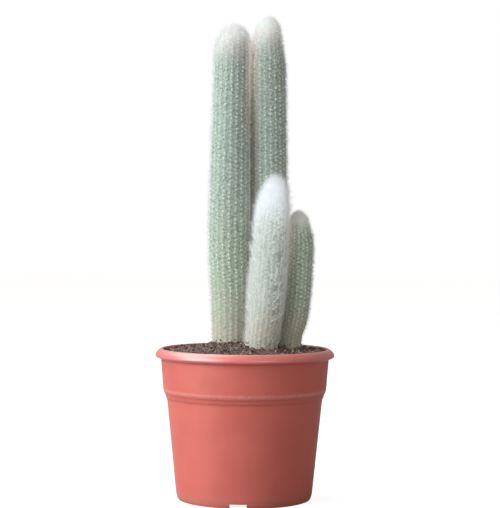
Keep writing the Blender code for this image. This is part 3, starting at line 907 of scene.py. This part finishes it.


# %% [markdown]
# ## Finish of the skin
# The skin is a soft green, painted darker and greyer in the valleys as painted shade in the grooves. A
# fine pale down covers it, and dark specks of painted shade show where one looks in between the bristles.
# Low down it turns corky with age, tan on the crests and brown in the valleys, where the brown is
# painted shade. At the tip it disappears under wool, which is whiter on the young, woolly stem. Where a
# neighbour shelters it, it gets painted warm light high up and painted shade lower down. A faint glow
# stands for the light that the bristles pass on. All this follows the stem and not the room, so the
# material reads it from what the skin remembers.

# %% Cactus skin
DOWN_SCALE = 1000.0
DOWN_COLOUR = (0.46, 0.53, 0.50)
SPECK_SCALE = 620.0
SHADE_SPECK_COLOUR = (0.08, 0.11, 0.09)
# Cork is tan; its darker colour in the valleys is painted shade.
CORK_CREST = (0.55, 0.50, 0.42)
CORK_VALLEY_SHADE = (0.15, 0.13, 0.10)
# Skin in the gap between stems: painted warm light high up, painted shade lower down.
GAP_SKIN_WARM_LIGHT = (0.62, 0.58, 0.49)
GAP_SKIN_SHADE = (0.36, 0.34, 0.28)
SKIN_GLOW = (0.014, 0.017, 0.013)


def sheltered(bench):
    """How far a point lies hidden in the gap between two stems."""
    return bench.ease(attribute(bench, "room"), 0.002, 0.012, 0.85, 0.0)


def down_the_stem(bench, start, end, high, low):
    """A colour that changes with the way down from the tip."""
    return bench.tint(bench.ease(attribute(bench, "below_tip"), start, end), high, low)


def skin_finish(name, low, high, groove, specks, wool, wool_end):
    """A skin that runs from one green near the soil to another one high up, with wool at the tip."""
    finish, bench, shader = new_material(name)
    above, valley = attribute(bench, "above_soil"), attribute(bench, "valley")
    tone = place_group(bench, CLOUDY_TONE, {
        "Dark": bench.tint(bench.ease(above, 0.06, 0.20), low, high), "Light": low, "Patch Size": 0.012,
        "Grain Size": 0.0009, "Grain Share": 0.35})
    # Painted shade: the rib valleys get the darker, greyer groove colour.
    green = bench.tint(valley, tone["Color"], groove)
    green = bench.tint(bench.ease(mottle(bench, DOWN_SCALE, 1.0), 0.44, 0.58, 0.0, 0.55), green, DOWN_COLOUR)
    # Dark specks of painted shade, where one looks in between the bristles.
    green = bench.tint(bench.ease(mottle(bench, SPECK_SCALE, 0.0), 0.54, 0.62, 0.0, specks), green,
                       SHADE_SPECK_COLOUR)
    # Where a neighbour shelters the skin, its colour is painted warm light near the tip and painted shade
    # lower down.
    corky = place_group(bench, SETTLED_DUST, {
        "Color": bench.tint(sheltered(bench), green, down_the_stem(bench, 0.04, 0.15, GAP_SKIN_WARM_LIGHT, GAP_SKIN_SHADE)),
        "Dust": bench.tint(valley, CORK_CREST, CORK_VALLEY_SHADE), "Measure": above, "Thick Below": 0.004,
        "Gone Above": 0.062, "Amount": 0.9, "Speck Size": 0.004})
    woolly = bench.ease(attribute(bench, "below_tip"), 0.004, wool_end, 1.0, 0.0)
    bench.fill(shader, {
        "Base Color": bench.tint(woolly, corky["Color"], wool), "Roughness": 0.7,
        "Specular IOR Level": 0.3, "Sheen Weight": 0.4, "Emission Color": SKIN_GLOW,
        "Emission Strength": 1.0, "Normal": bump(bench, tone["Grain"], distance=0.0002)})
    return finish


green_skin = skin_finish(
    "cactus skin", low=(0.32, 0.40, 0.27), high=(0.23, 0.32, 0.30), groove=(0.13, 0.18, 0.16),
    specks=0.55, wool=(0.61, 0.58, 0.56), wool_end=0.048)
young_skin = skin_finish(
    "young cactus skin", low=(0.38, 0.44, 0.38), high=(0.32, 0.43, 0.43), groove=(0.18, 0.26, 0.25),
    specks=0.25, wool=(0.60, 0.63, 0.67), wool_end=0.024)

# %% Clothe the stems in skin
SWELLING = 0.00028
skins = {}
for name, stem in STEMS.items():
    skins[name] = run_tree(core_mesh(stem, name + " core"), SKIN_TREE, {
        "Ribs": stem["ribs"], "Columns per Rib": 4, "Rib Depth": RIB_DEPTH, "Swelling": SWELLING,
        "Skin": young_skin if name == "stem_short_centre" else green_skin}, name + "_skin")
    settle(skins[name], "cactus_skin", name)

# %% [markdown]
# ## Room between neighbours
# The stems stand close together. Bristles that face a neighbour lie flat in the gap and don't stab
# through it. For each areole the distance to the nearest other stem is measured once and kept on the
# skin, so that the bristle tree can hold its bristles back by it.


# %% Measure the room at each areole
ROOM_SHARE = 0.85


def measure_room(name):
    """Most of the free distance to the nearest other stem, for each point of a skin."""
    others = bmesh.new()
    for other, skin in skins.items():
        if other != name:
            others.from_mesh(skin.data)
    tree = BVHTree.FromBMesh(others)
    others.free()
    mesh = skins[name].data
    room = np.array([tree.find_nearest(vertex.co)[3] for vertex in mesh.vertices], np.float32)
    write_values(mesh, "room", ROOM_SHARE * room)
    return room.min()


for name in STEMS:
    print(name, "comes within", round(1000 * measure_room(name), 2), "mm of a neighbour")

# %% [markdown]
# ## Felt cushions
# Every areole is a small pad of pale felt, about 1.5 mm wide. It is what the eye reads as rows of
# bright dots. It is smaller on the woolly stem, at the growing tips and low down, where it is worn off.
# A tree sets a flattened ball of twenty faces on each marked point of the skin, turned to face outward.


# %% Felt tree
AREOLE_STRAY = 0.00045


def areole_points(bench, given):
    """The skin's marked points, which also remember which way is out of the skin."""
    normal = bench.value("GeometryNodeInputNormal")
    skin = store(bench, given["Geometry"], "outward", normal, "FLOAT_VECTOR")
    is_areole = bench.value("FunctionNodeCompare", {"A": field(bench, "areole"), "B": 0.5},
                            data_type="FLOAT", operation="GREATER_THAN")
    points = bench.value("GeometryNodeMeshToPoints", {"Mesh": skin, "Selection": is_areole})
    shift = chance(bench, 21, (-AREOLE_STRAY, ) * 3, (AREOLE_STRAY, ) * 3, "FLOAT_VECTOR")
    return bench.value("GeometryNodeSetPosition", {"Geometry": points, "Offset": shift})


bench, given, last = new_tree("felt cushions", {
    "Width": 0.0016, "Thickness": 0.0008, "Seed": 1, "Felt": "Material"})
pad = bench.value("GeometryNodeMeshIcoSphere", {"Radius": 0.5, "Subdivisions": 1})
facing = bench.value("FunctionNodeAlignRotationToVector",
                     {"Vector": field(bench, "outward", "FLOAT_VECTOR")}, axis="Z")
size = (chance(bench, given["Seed"], 0.40, 1.15)
        * bench.ease(field(bench, "below_tip"), 0.012, 0.050, 0.40, 1.0)
        * bench.ease(field(bench, "above_soil"), 0.006, 0.050, 0.45, 1.0))
pads = bench.value("GeometryNodeInstanceOnPoints", {
    "Points": areole_points(bench, given), "Instance": pad, "Rotation": facing,
    "Scale": bench.join(given["Width"], given["Width"], given["Thickness"]) * size})
FELT_TREE = end_tree(bench, pads, given["Felt"], True, last)

# %% [markdown]
# ## Bristles
# Each areole sends out twenty or thirty thin bristles like the ribs of an umbrella, most of them nearly
# flat on the skin, a few standing out. They cross those of the next areole and make the silver net. Some
# stick together in a lock, which points one way, and low on the stem most have broken off. Hair curves
# would look right but don't survive the export, so a tree copies each areole point many times, gives
# every copy its own direction and sets a slender three-sided needle on it.

# %% Bristle tree
bench, given, last = new_tree("bristle tufts", {
    "Count": 20, "Extra at Tip": 10, "Extra in Gap": 0, "Length": 0.004, "Length Spread": 0.25,
    "Growth at Tip": 0.3, "Tip Reach": 0.03, "Thickness": 0.00014, "Lift Low": 0.1, "Lift High": 0.8,
    "Lift at Tip": 0.4, "Upright": 0.1, "Bend": 0.1, "Lock": 0.0, "Left at Foot": 0.3, "Segments": 1,
    "Seed": 1, "Bristle": "Material"})
needle = bench.value("GeometryNodeMeshCone", {
    "Vertices": 3, "Side Segments": given["Segments"], "Radius Top": 0.0,
    "Radius Bottom": given["Thickness"] / (2.0 * given["Length"]), "Depth": 1.0})
along = bench.split(bench.value("GeometryNodeInputPosition"))["Z"]
needle = store(bench, needle, "toward_tip", along)
bow = given["Bend"] * field(bench, "toward_tip")**2.0
needle = bench.value("GeometryNodeSetPosition", {"Geometry": needle, "Offset": bench.join(y=bow)})
below_tip = field(bench, "below_tip")
youth = bench.ease(below_tip, 0.0, given["Tip Reach"], 1.0, 0.0)
gap = bench.ease(field(bench, "room"), 0.004, 0.016, 1.0, 0.0) * bench.ease(below_tip, 0.04, 0.13, 1.0, 0.15)
extra = given["Extra at Tip"] * youth + given["Extra in Gap"] * gap
kept = bench.ease(field(bench, "above_soil"), 0.008, 0.050, given["Left at Foot"], 1.0)
amount = bench.sum("ROUND", kept * (given["Count"] + extra))
points = store(bench, areole_points(bench, given), "lock_heading",
               chance(bench, given["Seed"] + 6, 0.0, math.tau))
tufts = bench.value("GeometryNodeDuplicateElements", {"Geometry": points, "Amount": amount}, domain="POINT")
tufts = store(bench, tufts, "bristle_shade", chance(bench, given["Seed"] + 5, 0.0, 1.0))

# %% Direction and length of a bristle
outward = field(bench, "outward", "FLOAT_VECTOR")
sideways = bench.vector("NORMALIZE", bench.vector("CROSS_PRODUCT", (0.02, 0.01, 1.0), outward))
upward = bench.vector("CROSS_PRODUCT", outward, sideways)
locked = given["Lock"] * bench.ease(below_tip, 0.01, 0.05)
stray_turn = chance(bench, given["Seed"], -math.pi, math.pi) * (1.0 - locked)
heading = field(bench, "lock_heading") + stray_turn
flat = sideways * bench.sum("SINE", heading) + upward * bench.sum("COSINE", heading)
lift = (bench.mix(chance(bench, given["Seed"] + 1, 0.0, 1.0)**1.2, given["Lift Low"], given["Lift High"])
        + given["Lift at Tip"] * youth)
spread = given["Length Spread"] * chance(bench, given["Seed"] + 2, -1.0, 1.0)
length = given["Length"] * ((1.0 + spread) * (1.0 + given["Growth at Tip"] * youth))
room = field(bench, "room") * chance(bench, given["Seed"] + 4, 0.35, 1.0)
standing = bench.sum("MINIMUM", length * bench.sum("SINE", lift), room)
lying = length * bench.sum("COSINE", lift)
reach = outward * standing + flat * lying + bench.join(z=length * given["Upright"])
spin = bench.value("FunctionNodeAxisAngleToRotation", {
    "Axis": (0.0, 0.0, 1.0), "Angle": chance(bench, given["Seed"] + 3, 0.0, math.tau)})
aimed = bench.value("FunctionNodeRotateRotation", {
    "Rotation": bench.value("FunctionNodeAlignRotationToVector", {"Vector": reach}, axis="Z"),
    "Rotate By": spin}, rotation_space="LOCAL")
bristles = bench.value("GeometryNodeInstanceOnPoints", {
    "Points": tufts, "Instance": needle, "Rotation": aimed, "Scale": bench.vector("LENGTH", reach)})
BRISTLE_TREE = end_tree(bench, bristles, given["Bristle"], True, last)

# %% [markdown]
# ## Finish of felt and bristles
# Bristles are white to clear, silvery green where the skin shines through their ends, and straw-coloured
# when old. Some are worn and dull. Felt is off-white. All read their age from the values that the skin
# passed on to them. They carry a soft sheen, and a faint glow for the light that runs inside a fibre. It
# is warm high up in the gap between two stems, where light goes from one coat of bristles to the other.
# In that gap their colour is painted too: warm, pinkish painted light high up and painted shade lower
# down.


# %% Silver bristles and felt
# Fibres in the gap between stems: painted warm light high up, painted shade lower down.
GAP_FIBRE_WARM_LIGHT = (0.80, 0.72, 0.69)
GAP_FIBRE_SHADE = (0.46, 0.45, 0.38)
FIBRE_GLOW = (0.062, 0.067, 0.058)
GAP_GLOW = (0.37, 0.325, 0.30)
TIP_GLOW_SHARE = 0.36
CLEAR_END_COLOUR = (0.30, 0.35, 0.31)


def pale_finish(name, young, high, low, old, roughness, young_end=0.054):
    """A pale fibre: old at the soil, then low and high on the stem, and young at the tip."""
    finish, bench, shader = new_material(name)
    above, below_tip = attribute(bench, "above_soil"), attribute(bench, "below_tip")
    hidden = sheltered(bench)
    # In the gap between stems the fibre colour is painted: warm light near the tip, shade lower down.
    grown = bench.tint(hidden, bench.tint(bench.ease(above, 0.06, 0.20), low, high),
                       down_the_stem(bench, 0.04, 0.15, GAP_FIBRE_WARM_LIGHT, GAP_FIBRE_SHADE))
    age = place_group(bench, SETTLED_DUST, {
        "Color": grown, "Dust": old, "Measure": above, "Thick Below": 0.004, "Gone Above": 0.060,
        "Amount": 0.85, "Speck Size": 0.004})
    new_growth = place_group(bench, SETTLED_DUST, {
        "Color": age["Color"], "Dust": young, "Measure": below_tip, "Thick Below": 0.003,
        "Gone Above": young_end, "Amount": 1.0, "Speck Size": 0.010})
    glow = bench.tint(hidden * bench.ease(below_tip, 0.02, 0.11, 1.0, 0.0), FIBRE_GLOW, GAP_GLOW)
    glow = bench.tint(bench.ease(below_tip, 0.0, 0.050, 0.45, 0.0), glow,
                      tuple(TIP_GLOW_SHARE * part for part in young))
    bench.fill(shader, {"Base Color": new_growth["Color"], "Roughness": roughness, "Specular IOR Level": 0.4,
                        "Sheen Weight": 0.7, "Emission Color": glow, "Emission Strength": 1.0})
    return finish, bench, shader, new_growth["Color"]


def bristle_finish(name, young, high, low, old, clear, young_end):
    """A pale fibre with a clear end, through which the skin's green shows. Some bristles are worn."""
    finish, bench, shader, colour = pale_finish(name, young, high, low, old, 0.55, young_end)
    grown_up = bench.ease(attribute(bench, "below_tip"), 0.010, 0.040)
    clear_end = bench.ease(attribute(bench, "toward_tip"), 0.25, 1.0, 0.0, clear) * grown_up
    worn = bench.ease(attribute(bench, "bristle_shade"), 0.55, 1.0, 0.0, 0.50) * grown_up
    bench.fill(shader, {"Base Color": bench.tint(clear_end + worn, colour, CLEAR_END_COLOUR)})
    return finish


silver = bristle_finish(
    "silver bristles", young=(0.54, 0.52, 0.51), high=(0.495, 0.56, 0.575), low=(0.55, 0.625, 0.53),
    old=(0.52, 0.48, 0.42), clear=0.30, young_end=0.052)
snowy = bristle_finish(
    "snowy bristles", young=(0.56, 0.59, 0.63), high=(0.67, 0.73, 0.765), low=(0.68, 0.70, 0.685),
    old=(0.65, 0.63, 0.60), clear=0.24, young_end=0.026)
felt_finish, bench, shader, colour = pale_finish(
    "areole felt", young=(0.62, 0.60, 0.59), high=(0.77, 0.84, 0.85), low=(0.79, 0.85, 0.77),
    old=(0.60, 0.56, 0.49), roughness=0.9)
bench.fill(shader, {"Normal": bump(bench, mottle(bench, 3000.0), distance=0.0003)})

# %% [markdown]
# ## Light in the bristles
# A bristle is as clear as fishing line: light goes through it, so it throws hardly any shadow and has no
# dark side of its own. Glass needles would take long to render. Instead the normal of each bristle is
# turned by a share toward the direction in which its skin faces, so it is shaded softly, like its stem.
# Close to the tip the share is smaller, so that the tuft there keeps its sparkle.


# %% Shade bristles like their stem
def let_light_through(thing, share):
    """Turns the normals by a share toward the way out of the skin, and drops the shadow."""
    own = np.empty(3 * len(thing.data.vertices), np.float32)
    thing.data.vertex_normals.foreach_get("vector", own)
    outward = np.empty_like(own)
    thing.data.attributes["outward"].data.foreach_get("vector", outward)
    below = np.empty(len(thing.data.vertices), np.float32)
    thing.data.attributes["below_tip"].data.foreach_get("value", below)
    share = np.repeat(share * np.interp(below, (0.0, 0.05), (0.80, 1.0)), 3)
    mixed = (1 - share) * own + share * outward
    thing.data.normals_split_custom_set_from_vertices(mixed.reshape(-1, 3))
    thing.visible_shadow = False


# %% Set the felt and the bristles
FELT_WIDTH = {name: 0.0010 if name == "stem_short_centre" else 0.0015 for name in STEMS}
SHARED = {"Length Spread": 0.25, "Growth at Tip": 0.5, "Tip Reach": 0.035, "Thickness": 0.00015,
          "Lift Low": 0.10, "Lift High": 1.15, "Lift at Tip": 0.30, "Upright": 0.12, "Bend": 0.08,
          "Lock": 0.30, "Segments": 1, "Bristle": silver}
BRISTLES = {
    "stem_tall_left": {"Count": 22, "Extra at Tip": 12, "Length": 0.0042, "Seed": 100},
    "stem_tall_right": {"Count": 20, "Extra at Tip": 10, "Length": 0.0041, "Seed": 200},
    "stem_short_centre": {"Count": 18, "Extra at Tip": 14, "Length": 0.0050, "Lift High": 0.9,
                          "Upright": 0.3, "Lock": 0.2, "Seed": 300, "Bristle": snowy},
    "stem_short_right": {"Count": 26, "Extra at Tip": 6, "Length": 0.0037, "Seed": 400},
}


def grow(stem_name, ending, light_share, values):
    """Sets bristles of one kind on a stem."""
    hairs = run_tree(skins[stem_name].data, BRISTLE_TREE, {**SHARED, **values}, stem_name + ending)
    let_light_through(hairs, light_share)
    settle(hairs, "cactus_skin")


for name in STEMS:
    felt = run_tree(skins[name].data, FELT_TREE, {
        "Width": FELT_WIDTH[name], "Thickness": 0.0010, "Seed": 7, "Felt": felt_finish}, name + "_felt")
    settle(felt, "cactus_skin")
    grow(name, "_bristles", 0.4, BRISTLES[name])

# %% [markdown]
# ## Wool
# The short stem in front is younger, and long white hairs still hide its ribs. They grow from the same
# areoles, longer, softer and swept upward in locks, so the bristle tree makes them too: ten or more for
# each areole, each of two pieces so that it can bend, and near the tip a few thick ones that stray where
# hairs stick together. The other stems have such wool only at their growing tips, and the tall ones also
# in the gap where they nearly touch.

# %% Long hairs
WOOL = {"Count": 10, "Extra at Tip": 8, "Length": 0.0078, "Length Spread": 0.35, "Thickness": 0.00016,
        "Growth at Tip": 0.0, "Lift Low": 0.10, "Lift High": 1.00, "Upright": 0.80, "Bend": 0.12,
        "Lock": 0.65, "Segments": 2, "Seed": 500, "Bristle": snowy}
STRAYS = {"Count": 0, "Extra at Tip": 8, "Length": 0.0095, "Length Spread": 0.35, "Thickness": 0.00036,
          "Growth at Tip": -0.10, "Tip Reach": 0.046, "Lift Low": 0.75, "Lift High": 1.3,
          "Upright": 0.30, "Bend": 0.25, "Lock": 0.85, "Segments": 2, "Seed": 550, "Bristle": snowy}
TIP_WOOL = {"Count": 0, "Extra at Tip": 18, "Length": 0.0046, "Length Spread": 0.35,
            "Thickness": 0.00012, "Growth at Tip": 0.1, "Tip Reach": 0.030, "Lift Low": 0.3,
            "Lift High": 1.1, "Upright": 0.3, "Bend": 0.2, "Segments": 2, "Seed": 600}
GAP_WOOL = {"stem_tall_left": 24, "stem_tall_right": 28, "stem_short_right": 0}

grow("stem_short_centre", "_wool", 0.3, WOOL)
grow("stem_short_centre", "_strays", 0.55, STRAYS)
for name, gap_count in GAP_WOOL.items():
    grow(name, "_wool", 0.3, {**TIP_WOOL, "Extra in Gap": gap_count})

# %% [markdown]
# ## Crumbs on the feet
# Watering splashes soil against the stems, so crumbs cling to their lowest few millimetres. The crumb
# tree strews them over the skins too, between the soil and 7 mm above it.

# %% Crumbs on the stems
feet = bmesh.new()
for skin in skins.values():
    feet.from_mesh(skin.data)
feet_mesh = bpy.data.meshes.new("feet of the stems")
feet.to_mesh(feet_mesh)
feet.free()
foot_crumbs = run_tree(feet_mesh, CRUMB_TREE, {
    "Per Square Metre": 90000.0, "Smallest": 0.0003, "Largest": 0.0014, "Lowest": SOIL_LEVEL + 0.002,
    "Highest": SOIL_LEVEL + 0.010, "Sink": 0.2, "Seed": 8, "Finish": crumb_finish}, "foot_crumbs")
settle(foot_crumbs, "potting_soil")
